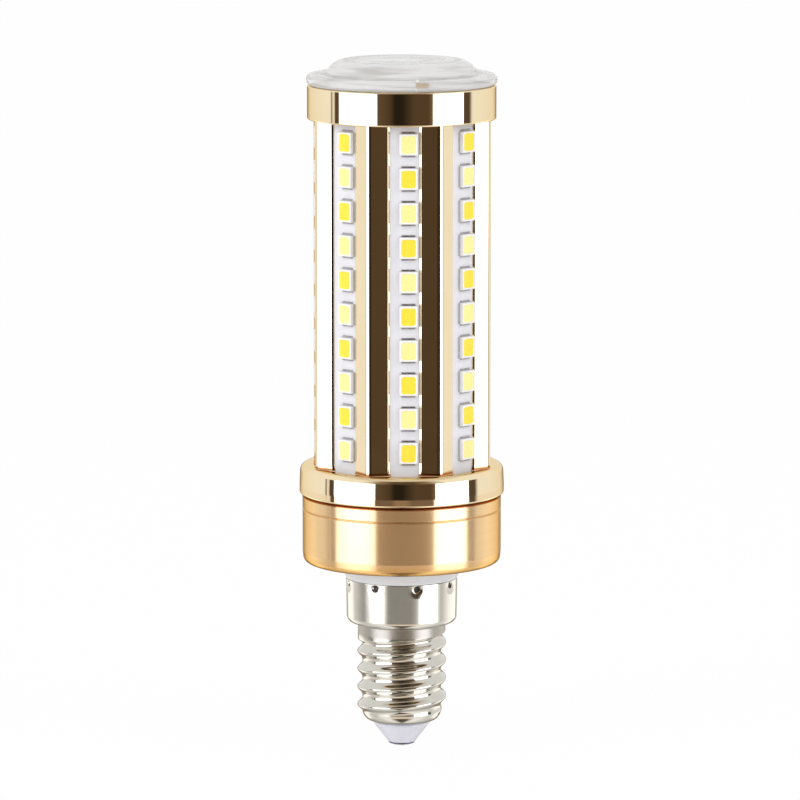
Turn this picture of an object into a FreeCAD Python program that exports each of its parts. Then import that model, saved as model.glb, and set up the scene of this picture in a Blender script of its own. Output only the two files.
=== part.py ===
"""Corn LED bulb on an E14 screw cap, as a parametric document.

Millimetres, +Z up. The origin is on the bulb's axis, at the flat face of the centre contact.
Strip 1 faces -Y, and the strips are numbered anticlockwise seen from above.
"""

import FreeCAD, Part
import Sketcher
import math
import os
import re

SIZES = (
    # Screw cap, from the tip up
    ("contact_radius", 2.0),
    ("contact_height", 0.5),
    ("contact_edge", 0.15),
    ("bump_radius", 1.4),
    ("bump_height", 0.25),
    ("shank_radius", 0.8),
    ("shank_proud", 0.8),
    ("tip_radius", 2.1),
    ("tip_height", 3.4),
    ("tip_flare", 2.25),
    ("tip_land", 0.5),
    ("seat_height", 0.9),
    ("shell_wall", 0.4),
    ("shell_skin", 0.47),
    ("nose_round", 1.6),
    ("nose_land", 0.1),
    ("lead_in", 0.5),
    ("thread_major", 6.9),
    ("thread_depth", 0.78),
    ("thread_pitch", 2.822),
    ("thread_width", 2.3),
    ("thread_crest", 0.6),
    ("thread_root_depth", 0.2),
    ("thread_length", 13.8),
    ("runout_length", 0.5),
    ("thread_below_nose", 1.8),
    ("plain_drop", 0.1),
    ("plain_length", 1.8),
    ("shoulder_round", 1.35),
    ("collar_step", 1.7),
    ("collar_height", 7.0),
    ("stake_count", 8),
    ("stake_radius", 0.5),
    ("stake_depth", 0.22),
    ("stake_drop", 0.75),
    ("stake_turn", 14.5),
    # Neck and cup
    ("neck_wall", 1.7),
    ("neck_spigot", 4.5),
    ("neck_overhang", 0.1),
    ("neck_flare", 0.4),
    ("neck_height", 2.5),
    ("neck_proud", 1.0),
    ("neck_step", 0.3),
    ("cup_step", 2.75),
    ("cup_height", 10.75),
    ("cup_wall", 1.2),
    ("cup_floor", 1.4),
    ("cup_band", 1.85),
    ("cup_taper", 0.15),
    ("cup_round", 1.6),
    ("groove_drop", 2.35),
    ("groove_width", 0.3),
    ("groove_depth", 0.15),
    ("seam_chamfer", 0.2),
    ("ledge_width", 1.0),
    ("driver_drop", 3.4),
    # Cage: flange, bars and the hoop inside the top ring
    ("flange_step", 0.25),
    ("flange_bulge", 0.19),
    ("flange_lean", 0.13),
    ("belly_height", 1.5),
    ("belly_round", 8.0),
    ("flange_foot", 0.6),
    ("flange_height", 4.55),
    ("bullnose", 2.0),
    ("crest_width", 0.66),
    ("crest_dip", 0.6),
    ("spigot_wall", 1.0),
    ("deck_drop", 2.7),
    ("deck_web", 1.1),
    ("bar_length", 53.4),
    ("ridge_step", 1.85),
    ("ridge_round", 1.0),
    ("window_width", 4.56),
    ("lip_thickness", 0.3),
    ("foot_inset", 0.35),
    ("foot_height", 1.3),
    ("hoop_step", 1.1),
    ("hoop_height", 2.5),
    # Boards, LEDs and the core
    ("strip_count", 8),
    ("board_front", 12.6),
    ("board_width", 5.4),
    ("board_thickness", 1.0),
    ("board_hidden", 0.9),
    ("core_wall", 2.0),
    ("led_count", 10),
    ("led_first", 3.5),
    ("led_last", 2.74),
    ("led_shift", 0.6),
    ("led_width", 2.8),
    ("led_length", 3.5),
    ("led_height", 0.85),
    ("phosphor_width", 2.16),
    ("phosphor_length", 2.66),
    ("phosphor_depth", 0.4),
    ("phosphor_dip", 0.05),
    ("link_thickness", 1.2),
    ("link_margin", 0.3),
    # Top ring and lens cap
    ("ring_wall", 0.75),
    ("ring_height", 5.2),
    ("ring_edge", 0.3),
    ("lens_overhang", 0.13),
    ("lens_rim_height", 1.75),
    ("lens_rim_round", 1.0),
    ("lens_edge", 0.5),
    ("lens_plug_drop", 0.4),
    ("lens_plug_wall", 1.0),
    ("lens_wall", 1.3),
    ("dome_inset", 2.63),
    ("dome_height", 2.15),
    ("dome_lean", 2.3),
    ("dome_round", 4.0),
    # Driver
    ("driver_thickness", 1.2),
    ("capacitor_radius", 4.0),
    ("capacitor_height", 12.0),
    ("capacitor_crimp", 0.3),
    ("capacitor_neck", 2.0),
    ("capacitor_offset", 4.2),
    ("choke_radius", 3.8),
    ("choke_height", 9.0),
    ("choke_flange", 1.2),
    ("choke_waist", 0.5),
    ("choke_offset", 4.4),
    ("rectifier_length", 4.7),
    ("rectifier_width", 3.9),
    ("rectifier_height", 1.6),
    ("chip_length", 4.9),
    ("chip_width", 3.9),
    ("chip_height", 1.5),
    ("chip_inset", 6.3),
    ("fuse_radius", 1.3),
    ("fuse_length", 7.0),
    ("fuse_offset", 5.0),
    ("lead_radius", 0.45),
    ("feed_inset", 1.0),
    ("neutral_start", 1.0),
    # Slip fit between pieces that slide together
    ("fit", 0.05),
)

# Heights up the axis, each one stacked on the one before
TIP = "contact_height"
NOSE = f"({TIP} + tip_height)"
SEAT = f"({NOSE} + nose_round + fit)"
INSULATOR_TOP = f"({SEAT} + seat_height)"
SHANK_TOP = f"({INSULATOR_TOP} + shank_proud)"
THREAD_END = f"({NOSE} + thread_length)"
SHOULDER = f"({THREAD_END} + plain_length)"
COLLAR = f"({SHOULDER} + shoulder_round)"
RIM = f"({SHOULDER} + collar_height)"
CUP = f"({RIM} + neck_height)"
SEAM = f"({CUP} + cup_height)"
DRIVER = f"({SEAM} - driver_drop)"
DRIVER_TOP = f"({DRIVER} + driver_thickness)"
DECK = f"({SEAM} + flange_height)"
FLOOR = f"({DECK} - deck_drop)"
RING = f"({DECK} + bar_length)"
BOARD_TOP = f"({RING} + board_hidden)"
LINK_TOP = f"({BOARD_TOP} + link_thickness)"
HOOP_TOP = f"({BOARD_TOP} + fit + hoop_height)"
CAP = f"({RING} + ring_height)"
LENS_RIM = f"({CAP} + lens_rim_height)"
DOME = f"({LENS_RIM} + dome_height)"

# Radii that follow from the thread
THREAD_MINOR = "(thread_major - thread_depth)"
SHELL_BORE = f"({THREAD_MINOR} - shell_skin)"
PLAIN = "(thread_major - plain_drop)"
COLLAR_RADIUS = "(thread_major + collar_step)"
COLLAR_BORE = f"({COLLAR_RADIUS} - shell_wall)"
NECK_LOW = f"({COLLAR_RADIUS} + neck_overhang)"
NECK_BORE = f"({COLLAR_BORE} - neck_wall)"
CUP_HOLE = f"({COLLAR_BORE} - neck_step)"
PLUG = "(tip_radius + tip_flare)"

# Radii that follow from the boards
CORE_FLAT = "(board_front - board_thickness)"
CORE_BORE = f"({CORE_FLAT} - core_wall)"
POCKET = "(sqrt(board_front ^ 2 + (board_width / 2) ^ 2) + fit)"
RIDGE = "(board_front + ridge_step)"
CUP_RADIUS = "(board_front + cup_step)"
CUP_BORE = f"({CUP_RADIUS} - cup_wall)"
FLANGE_LOW = f"({CUP_RADIUS} + flange_step)"
HOOP_RADIUS = "(board_front + hoop_step)"
RING_BORE = f"({HOOP_RADIUS} + fit)"
RING_RADIUS = f"({RING_BORE} + ring_wall)"
LENS_RADIUS = f"({RING_RADIUS} + lens_overhang)"
LENS_PLUG = "(board_front - lens_plug_drop)"
HOOP_BORE = f"({LENS_PLUG} + fit)"
DOME_RADIUS = f"({LENS_RADIUS} - dome_inset)"
CHIP_OFFSET = f"({CUP_BORE} - chip_inset)"

LED_PITCH = "((bar_length - led_first - led_last) / (led_count - 1))"
HALF_STEP = "(180 / strip_count)"
FRONT_ANGLE = -90

# Room past the solid for a cut
CLEAR = 2.0
MATCH = 1e-4

doc = FreeCAD.newDocument("corn_bulb")
sheet = doc.addObject("Spreadsheet::Sheet", "Sizes")
for row, (alias, number) in enumerate(SIZES, start=1):
    sheet.set(f"A{row}", alias)
    sheet.set(f"B{row}", str(number))
    sheet.setAlias(f"B{row}", alias)
doc.recompute()
NAMES = {alias for alias, number in SIZES}
nodes = []


def bound(text):
    """An expression with its size names pointing at the sheet."""
    return re.sub(r"[a-z_]+", lambda word: f"Sizes.{word[0]}" if word[0] in NAMES else word[0], str(text))


def value(text):
    """The number that an expression stands for now."""
    return float(sheet.evalExpression(bound(text)))


def bind(thing, **properties):
    """Bind properties of an object to size expressions."""
    for name, text in properties.items():
        thing.setExpression(name, bound(text))


def keep(thing, label):
    """Count an object as a finished piece of the bulb."""
    thing.Label = label
    nodes.append(thing)
    return thing


def new_body(label):
    return keep(doc.addObject("PartDesign::Body", label), label)


def origin_part(body, role):
    return next(part for part in body.Origin.OriginFeatures if part.Role == role)


def new_sketch(body, name, plane, lift="0", turn="0"):
    """A sketch on one of the body's origin planes, lifted along its normal and turned about it."""
    sketch = body.newObject("Sketcher::SketchObject", name)
    sketch.AttachmentSupport = (origin_part(body, plane), [""])
    sketch.MapMode = "FlatFace"
    sketch.AttachmentOffset = FreeCAD.Placement(
        FreeCAD.Vector(0, 0, value(lift)), FreeCAD.Rotation(FreeCAD.Vector(0, 0, 1), value(turn))
    )
    sketch.setExpression(".AttachmentOffset.Base.z", bound(lift))
    return sketch


def pin_point(sketch, line, end, across, along):
    """Hold one end of a line at the given expressions, measured from the sketch's origin."""
    for kind, text in (("DistanceX", across), ("DistanceY", along)):
        if text == "0":
            axis = -2 if kind == "DistanceX" else -1
            sketch.addConstraint(Sketcher.Constraint("PointOnObject", line, end, axis))
            continue
        number = sketch.addConstraint(Sketcher.Constraint(kind, line, end, value(text)))
        sketch.setExpression(f"Constraints[{number}]", bound(text))


def rounded_corner(before, corner, after, size):
    """The arc that rounds a corner, with its first and last point on the way round."""
    back = (before - corner).normalize()
    ahead = (after - corner).normalize()
    half = back.getAngle(ahead) / 2
    first = corner + back * (size / math.tan(half))
    last = corner + ahead * (size / math.tan(half))
    centre = corner + (back + ahead).normalize() * (size / math.sin(half))
    middle = centre + (corner - centre).normalize() * size
    return first, middle, last


def outline(sketch, corners):
    """A closed outline through (across, along) corners, or (across, along, rounding) ones."""
    points = [FreeCAD.Vector(value(corner[0]), value(corner[1]), 0) for corner in corners]
    count = len(points)
    arcs = {}
    for index, corner in enumerate(corners):
        if len(corner) > 2:
            around = points[index - 1], points[index], points[(index + 1) % count]
            arcs[index] = rounded_corner(*around, value(corner[2]))
    first = sketch.GeometryCount
    for index in range(count):
        following = (index + 1) % count
        start = arcs[index][2] if index in arcs else points[index]
        end = arcs[following][0] if following in arcs else points[following]
        sketch.addGeometry(Part.LineSegment(start, end))
    for index, corner in enumerate(corners):
        line_in = first + (index - 1) % count
        line_out = first + index
        if index in arcs:
            round_corner(sketch, line_in, line_out, points[index], arcs[index], corner)
            continue
        sketch.addConstraint(Sketcher.Constraint("Coincident", line_in, 2, line_out, 1))
        pin_point(sketch, line_out, 1, *corner)


def round_corner(sketch, line_in, line_out, point, arc_points, corner):
    """Join two lines by a tangent arc, and hold the corner that it rounds."""
    across, along, size = corner
    arc = sketch.addGeometry(Part.Arc(*arc_points))
    turn = (point - arc_points[0]).cross(arc_points[2] - point).z
    arc_start, arc_end = (1, 2) if turn > 0 else (2, 1)
    sketch.addConstraint(Sketcher.Constraint("Tangent", line_in, 2, arc, arc_start))
    sketch.addConstraint(Sketcher.Constraint("Tangent", line_out, 1, arc, arc_end))
    number = sketch.addConstraint(Sketcher.Constraint("Radius", arc, value(size)))
    sketch.setExpression(f"Constraints[{number}]", bound(size))
    mark = sketch.addGeometry(Part.Point(point), True)
    sketch.addConstraint(Sketcher.Constraint("PointOnObject", mark, 1, line_in))
    sketch.addConstraint(Sketcher.Constraint("PointOnObject", mark, 1, line_out))
    pin_point(sketch, mark, 1, across, along)


def rectangle(sketch, width, height, across="0", along="0"):
    """A rectangle about a centre."""
    left, right = f"{across} - {width} / 2", f"{across} + {width} / 2"
    low, high = f"{along} - {height} / 2", f"{along} + {height} / 2"
    outline(sketch, [(left, low), (right, low), (right, high), (left, high)])


def spin(body, kind, name, *profiles):
    """Turn closed profiles of (radius, height) about the axis, to add or to cut."""
    sketch = new_sketch(body, f"{name}_profile", "XZ_Plane")
    for corners in profiles:
        outline(sketch, corners)
    feature = body.newObject(f"PartDesign::{kind}", name)
    feature.Profile = sketch
    feature.ReferenceAxis = (sketch, ["V_Axis"])
    feature.Angle = 360
    doc.recompute()
    return feature


def round_edge(body, name, radius, height, size):
    """Round the circular edge of the given radius and height."""
    base = body.Tip
    found = []
    for number, edge in enumerate(base.Shape.Edges, start=1):
        curve = edge.Curve
        if not isinstance(curve, Part.Circle):
            continue
        if abs(curve.Radius - value(radius)) < MATCH and abs(curve.Center.z - value(height)) < MATCH:
            found.append(f"Edge{number}")
    fillet = body.newObject("PartDesign::Fillet", name)
    fillet.Base = (base, found)
    bind(fillet, Radius=size)
    body.Tip = fillet
    doc.recompute()


def turned(label, corners):
    """A piece turned about the axis from one closed profile."""
    body = new_body(label)
    spin(body, "Revolution", f"{label}_turning", corners)
    return body


def pad(body, sketch, name, length):
    feature = body.newObject("PartDesign::Pad", name)
    feature.Profile = sketch
    bind(feature, Length=length)
    doc.recompute()
    return feature


def polar(body, name, originals, count):
    """Repeat features evenly about the axis."""
    feature = body.newObject("PartDesign::PolarPattern", name)
    feature.Originals = originals
    feature.Axis = (origin_part(body, "Z_Axis"), [""])
    feature.Angle = 360
    bind(feature, Occurrences=count)
    body.Tip = feature
    doc.recompute()
    return feature


def about_axis(angle, radius="0", across="0", height="0"):
    """A placement at a radius and a height, turned about the axis."""
    turn = FreeCAD.Placement(FreeCAD.Vector(), FreeCAD.Rotation(FreeCAD.Vector(0, 0, 1), angle))
    shift = FreeCAD.Vector(value(radius), value(across), value(height))
    return turn.multiply(FreeCAD.Placement(shift, FreeCAD.Rotation()))


def block(label, length, width, height, placement):
    box = keep(doc.addObject("Part::Box", label), label)
    bind(box, Length=length, Width=width, Height=height)
    box.Placement = placement
    return box


def rod(label, radius, length, placement):
    cylinder = doc.addObject("Part::Cylinder", label)
    bind(cylinder, Radius=radius, Height=length)
    cylinder.Placement = placement
    return cylinder


def make_centre_contact():
    turned(
        "centre_contact",
        [
            ("0", "0"),
            ("bump_radius - contact_edge", "0"),
            ("bump_radius", "contact_edge"),
            ("bump_radius", "bump_height"),
            ("contact_radius", "bump_height"),
            ("contact_radius", TIP),
            ("shank_radius", TIP),
            ("shank_radius", SHANK_TOP),
            ("0", SHANK_TOP),
        ],
    )


def make_tip_insulator():
    hole = "shank_radius + fit"
    turned(
        "tip_insulator",
        [
            (hole, TIP),
            ("tip_radius", TIP),
            (PLUG, f"{NOSE} - tip_land"),
            (PLUG, SEAT),
            (f"{SHELL_BORE} - fit", SEAT),
            (f"{SHELL_BORE} - fit", INSULATOR_TOP),
            (hole, INSULATOR_TOP),
        ],
    )


def add_thread(body):
    """The rolled thread: a ridge with sloped flanks on a right-hand helix, trimmed at both ends."""
    sketch = new_sketch(body, "thread_profile", "XZ_Plane")
    root = f"{THREAD_MINOR} - thread_root_depth"
    start = f"({NOSE} - thread_below_nose)"
    outline(
        sketch,
        [
            (root, f"{start} - thread_width / 2"),
            ("thread_major", f"{start} - thread_crest / 2"),
            ("thread_major", f"{start} + thread_crest / 2"),
            (root, f"{start} + thread_width / 2"),
        ],
    )
    helix = body.newObject("PartDesign::AdditiveHelix", "thread_ridge")
    helix.Profile = sketch
    helix.ReferenceAxis = (sketch, ["V_Axis"])
    helix.Mode = "pitch-height-angle"
    bind(helix, Pitch="thread_pitch", Height=f"{THREAD_END} + plain_length / 2 - {start}")
    doc.recompute()
    outside = f"thread_major + {CLEAR}"
    inside = f"{SHELL_BORE} - {CLEAR}"
    below = f"{start} - thread_width - {CLEAR}"
    nose = f"({NOSE} + nose_round + nose_land)"
    lead_in = [
        (inside, below),
        (outside, below),
        (outside, f"{nose} + lead_in"),
        ("thread_major", f"{nose} + lead_in"),
        (THREAD_MINOR, nose),
        (THREAD_MINOR, NOSE),
        (inside, NOSE),
    ]
    plain = [
        (PLAIN, THREAD_END),
        (outside, THREAD_END),
        (outside, SHOULDER),
        (PLAIN, SHOULDER),
    ]
    spin(body, "Groove", "thread_trim", lead_in, plain)


def add_stake_marks(body):
    """The punch marks round the collar that hold the cap on the neck."""
    mark_height = f"{RIM} - stake_drop"
    sketch = new_sketch(body, "stake_profile", "YZ_Plane")
    turn = FreeCAD.Rotation(FreeCAD.Vector(0, 1, 0), value("stake_turn"))
    out = turn.multVec(FreeCAD.Vector(0, 0, value(COLLAR_RADIUS)))
    sketch.setExpression(".AttachmentOffset.Base.z", None)
    sketch.AttachmentOffset = FreeCAD.Placement(out, turn)
    centre = FreeCAD.Vector(0, value(mark_height), 0)
    sketch.addGeometry(Part.Circle(centre, FreeCAD.Vector(0, 0, 1), value("stake_radius")))
    pin_point(sketch, 0, 3, "0", mark_height)
    number = sketch.addConstraint(Sketcher.Constraint("Radius", 0, value("stake_radius")))
    sketch.setExpression(f"Constraints[{number}]", bound("stake_radius"))
    dent = body.newObject("PartDesign::Pocket", "stake_mark")
    dent.Profile = sketch
    bind(dent, Length="stake_depth")
    doc.recompute()
    polar(body, "stake_marks", [dent], "stake_count")


def make_screw_shell():
    """Sheet-metal cap: rolled nose, thread, plain neck, rounded shoulder and staked collar."""
    body = new_body("screw_shell")
    mouth = f"{PLUG} + fit"
    spin(
        body,
        "Revolution",
        "shell_turning",
        [
            (mouth, NOSE),
            (THREAD_MINOR, NOSE),
            (THREAD_MINOR, f"{THREAD_END} - runout_length"),
            (PLAIN, THREAD_END),
            (PLAIN, SHOULDER),
            (COLLAR_RADIUS, SHOULDER, "shoulder_round"),
            (COLLAR_RADIUS, RIM),
            (COLLAR_BORE, RIM),
            (COLLAR_BORE, COLLAR),
            (SHELL_BORE, f"{SHOULDER} + shell_wall"),
            (SHELL_BORE, f"{NOSE} + nose_round"),
            (mouth, f"{NOSE} + shell_wall"),
        ],
    )
    add_thread(body)
    round_edge(body, "nose_rounding", THREAD_MINOR, NOSE, "nose_round")
    add_stake_marks(body)


def make_neck_insulator():
    foot = f"{RIM} - neck_spigot"
    head = f"{CUP} + cup_floor + neck_proud"
    turned(
        "neck_insulator",
        [
            (NECK_BORE, foot),
            (f"{COLLAR_BORE} - fit", foot),
            (f"{COLLAR_BORE} - fit", RIM),
            (NECK_LOW, RIM),
            (f"{NECK_LOW} + neck_flare", CUP),
            (f"{CUP_HOLE} - fit", CUP),
            (f"{CUP_HOLE} - fit", head),
            (NECK_BORE, head),
        ],
    )


def make_base_cup():
    """Drawn cup: a floor with a hole, a tapered foot band, a groove line and a ledge for the driver."""
    groove = f"{SEAM} - groove_drop"
    ledge = f"{CUP_BORE} - ledge_width"
    turned(
        "base_cup",
        [
            (CUP_HOLE, CUP),
            (f"{CUP_RADIUS} - cup_taper", CUP, "cup_round"),
            (CUP_RADIUS, f"{CUP} + cup_band"),
            (CUP_RADIUS, f"{groove} - groove_width / 2"),
            (f"{CUP_RADIUS} - groove_depth", groove),
            (CUP_RADIUS, f"{groove} + groove_width / 2"),
            (CUP_RADIUS, f"{SEAM} - seam_chamfer"),
            (f"{CUP_RADIUS} - seam_chamfer", SEAM),
            (CUP_BORE, SEAM),
            (CUP_BORE, DRIVER),
            (ledge, DRIVER),
            (ledge, f"{CUP} + cup_floor"),
            (CUP_HOLE, f"{CUP} + cup_floor"),
        ],
    )


def strip_corner(radius, across):
    """A point beside a strip, in the frame of the bar next to it: x along the bar, y towards the strip."""
    along_x = f"({radius}) * cos({HALF_STEP}) + ({across}) * sin({HALF_STEP})"
    along_y = f"({radius}) * sin({HALF_STEP}) - ({across}) * cos({HALF_STEP})"
    return along_x, along_y


def bar_section(body, name, lift, half_window):
    """One bar's section: a rounded ridge, two facets and grooves that hold the board edges."""
    sketch = new_sketch(body, name, "XY_Plane", lift, HALF_STEP)
    under = "board_front + fit"
    beside = "board_width / 2 + fit"
    side = [
        strip_corner(f"{CORE_FLAT} + fit", beside),
        strip_corner(under, beside),
        strip_corner(under, half_window),
        strip_corner(f"{under} + lip_thickness", half_window),
    ]
    heel = (f"({CORE_FLAT} + fit) / cos({HALF_STEP})", "0")
    mirrored = [(across, f"-({along})") for across, along in side]
    corners = mirrored[::-1] + [heel] + side
    points = [FreeCAD.Vector(value(across), value(along), 0) for across, along in corners]
    lines = len(points) - 1
    for start, end in zip(points, points[1:]):
        sketch.addGeometry(Part.LineSegment(start, end))
    for index in range(lines - 1):
        sketch.addConstraint(Sketcher.Constraint("Coincident", index, 2, index + 1, 1))
    for index, (across, along) in enumerate(corners[:-1]):
        pin_point(sketch, index, 1, across, along)
    pin_point(sketch, lines - 1, 2, *corners[-1])
    crown = f"{RIDGE} - ridge_round"
    centre = FreeCAD.Vector(value(crown), 0, 0)
    round_size = value("ridge_round")
    edge = points[-1]
    slope = FreeCAD.Vector(value(RIDGE) - edge.x, -edge.y, 0).normalize()
    normal = FreeCAD.Vector(-slope.y, slope.x, 0)
    upper = centre + normal * round_size
    lower = FreeCAD.Vector(upper.x, -upper.y, 0)
    top = FreeCAD.Vector(value(RIDGE), 0, 0)
    upper_facet = sketch.addGeometry(Part.LineSegment(edge, upper))
    ridge = sketch.addGeometry(Part.Arc(lower, top, upper))
    lower_facet = sketch.addGeometry(Part.LineSegment(lower, points[0]))
    sketch.addConstraint(Sketcher.Constraint("Coincident", lines - 1, 2, upper_facet, 1))
    sketch.addConstraint(Sketcher.Constraint("Coincident", lower_facet, 2, 0, 1))
    number = sketch.addConstraint(Sketcher.Constraint("Radius", ridge, round_size))
    sketch.setExpression(f"Constraints[{number}]", bound("ridge_round"))
    pin_point(sketch, ridge, 3, crown, "0")
    sketch.addConstraint(Sketcher.Constraint("Tangent", upper_facet, 2, ridge, 2))
    sketch.addConstraint(Sketcher.Constraint("Tangent", lower_facet, 1, ridge, 1))
    doc.recompute()
    return sketch


def make_bar_cage():
    """One plated moulding: a bellied flange, eight ridged bars and a hoop that the top ring hides."""
    body = new_body("bar_cage")
    spigot = f"{CUP_BORE} - fit"
    spin(
        body,
        "Revolution",
        "flange_turning",
        [
            (f"{spigot} - spigot_wall", f"{DRIVER_TOP} + fit"),
            (spigot, f"{DRIVER_TOP} + fit"),
            (spigot, SEAM),
            (FLANGE_LOW, SEAM, "flange_foot"),
            (f"{FLANGE_LOW} + flange_bulge", f"{SEAM} + belly_height", "belly_round"),
            (f"{FLANGE_LOW} + flange_bulge - flange_lean", DECK, "bullnose"),
            (f"{POCKET} + crest_width", DECK),
            (POCKET, f"{DECK} - crest_dip"),
            (POCKET, FLOOR),
            (CORE_BORE, FLOOR),
            (CORE_BORE, f"{FLOOR} - deck_web"),
            (f"{spigot} - spigot_wall", f"{FLOOR} - deck_web"),
        ],
    )
    half_window = "window_width / 2"
    section = bar_section(body, "bar_profile", FLOOR, half_window)
    bar = pad(body, section, "bar", f"{HOOP_TOP} - {FLOOR}")
    wide = bar_section(body, "foot_low_profile", f"{DECK} - crest_dip", f"{half_window} - foot_inset")
    narrow = bar_section(body, "foot_high_profile", f"{DECK} + foot_height", half_window)
    foot = body.newObject("PartDesign::AdditiveLoft", "bar_foot")
    foot.Profile = wide
    foot.Sections = [narrow]
    foot.Ruled = True
    doc.recompute()
    polar(body, "bars", [bar, foot], "strip_count")
    hoop_foot = f"{BOARD_TOP} + fit"
    spin(
        body,
        "Revolution",
        "hoop",
        [
            (HOOP_BORE, hoop_foot),
            (HOOP_RADIUS, hoop_foot),
            (HOOP_RADIUS, HOOP_TOP),
            (HOOP_BORE, HOOP_TOP),
        ],
    )
    above = f"{HOOP_TOP} + {CLEAR}"
    outer = [
        (HOOP_RADIUS, RING),
        (f"{RIDGE} + {CLEAR}", RING),
        (f"{RIDGE} + {CLEAR}", above),
        (HOOP_RADIUS, above),
    ]
    inner = [
        (f"{HOOP_BORE} - {CLEAR}", hoop_foot),
        (HOOP_BORE, hoop_foot),
        (HOOP_BORE, above),
        (f"{HOOP_BORE} - {CLEAR}", above),
    ]
    spin(body, "Groove", "hoop_trim", outer, inner)


def make_top_ring():
    turned(
        "top_ring",
        [
            (RING_BORE, RING),
            (f"{RING_RADIUS} - ring_edge", RING),
            (RING_RADIUS, f"{RING} + ring_edge"),
            (RING_RADIUS, f"{CAP} - ring_edge"),
            (f"{RING_RADIUS} - ring_edge", CAP),
            (HOOP_BORE, CAP),
            (HOOP_BORE, f"{HOOP_TOP} + fit"),
            (RING_BORE, f"{HOOP_TOP} + fit"),
        ],
    )


def make_lens_cap():
    """Clear moulded cap: a plug in the ring, a rounded rim and a low dome with a flat top."""
    plug_bore = f"{LENS_PLUG} - lens_plug_wall"
    turned(
        "lens_cap",
        [
            (plug_bore, LINK_TOP),
            (LENS_PLUG, LINK_TOP),
            (LENS_PLUG, CAP),
            (f"{LENS_RADIUS} - lens_edge", CAP),
            (LENS_RADIUS, f"{CAP} + lens_edge"),
            (LENS_RADIUS, LENS_RIM, "lens_rim_round"),
            (DOME_RADIUS, LENS_RIM),
            (f"{DOME_RADIUS} - dome_lean", DOME, "dome_round"),
            ("0", DOME),
            ("0", f"{DOME} - lens_wall"),
            (f"{DOME_RADIUS} - dome_lean", f"{DOME} - lens_wall"),
            (plug_bore, CAP),
        ],
    )


def make_led_core():
    """Eight-sided aluminium tube with a round bore."""
    length = f"{BOARD_TOP} - {FLOOR}"
    prism = doc.addObject("Part::Prism", "core_prism")
    bind(prism, Polygon="strip_count", Circumradius=f"{CORE_FLAT} / cos({HALF_STEP})", Height=length)
    prism.Placement = about_axis(value(HALF_STEP), height=FLOOR)
    bore = rod("core_hole", CORE_BORE, length, about_axis(0, height=FLOOR))
    core = keep(doc.addObject("Part::Cut", "led_core"), "led_core")
    core.Base = prism
    core.Tool = bore


def strip_angle(number):
    return FRONT_ANGLE + 2 * value(HALF_STEP) * (number - 1)


def repeat_up(body, name, sketch, originals, pitch, count):
    feature = body.newObject("PartDesign::LinearPattern", name)
    feature.Originals = originals
    feature.Direction = (sketch, ["V_Axis"])
    bind(feature, Length=f"({pitch}) * ({count} - 1)", Occurrences=count)
    body.Tip = feature
    doc.recompute()


def make_led_cases(number):
    """Ten white packages on one board, each with a cup for its phosphor."""
    body = new_body(f"led_cases_{number}")
    first = f"({DECK} + led_first)"
    sketch = new_sketch(body, "case_profile", "YZ_Plane", "board_front")
    rectangle(sketch, "led_width", "led_length", "led_shift", first)
    case = pad(body, sketch, "case", "led_height")
    hollow = new_sketch(body, "cup_profile", "YZ_Plane", "board_front + led_height")
    rectangle(hollow, "phosphor_width", "phosphor_length", "led_shift", first)
    pocket = body.newObject("PartDesign::Pocket", "phosphor_cup")
    pocket.Profile = hollow
    bind(pocket, Length="phosphor_depth")
    doc.recompute()
    repeat_up(body, "cases", sketch, [case, pocket], LED_PITCH, "led_count")
    body.Placement = about_axis(strip_angle(number))


def make_phosphor(label, number, first_index):
    """Every second phosphor on one board, from the given place up."""
    body = new_body(f"{label}_{number}")
    floor = "board_front + led_height - phosphor_depth"
    first = f"({DECK} + led_first + {LED_PITCH} * {first_index})"
    sketch = new_sketch(body, "phosphor_profile", "YZ_Plane", floor)
    rectangle(sketch, "phosphor_width", "phosphor_length", "led_shift", first)
    fill = pad(body, sketch, "phosphor", "phosphor_depth - phosphor_dip")
    repeat_up(body, "phosphors", sketch, [fill], f"{LED_PITCH} * 2", "led_count / 2")
    body.Placement = about_axis(strip_angle(number))


def make_strips():
    """Boards, packages and phosphors. Neighbouring strips start with the other tint."""
    for number in range(1, int(value("strip_count")) + 1):
        block(
            f"led_strip_{number}",
            "board_thickness",
            "board_width",
            f"{BOARD_TOP} - {FLOOR}",
            about_axis(strip_angle(number), CORE_FLAT, "-board_width / 2", FLOOR),
        )
        make_led_cases(number)
        warm_start = (number + 1) % 2
        make_phosphor("warm_phosphor", number, warm_start)
        make_phosphor("cool_phosphor", number, 1 - warm_start)


def make_boards():
    link = rod("link_board", f"{CORE_FLAT} + link_margin", "link_thickness", about_axis(0, height=BOARD_TOP))
    keep(link, "link_board")
    driver = rod("driver_board", f"{CUP_BORE} - fit", "driver_thickness", about_axis(0, height=DRIVER))
    keep(driver, "driver_board")


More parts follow.
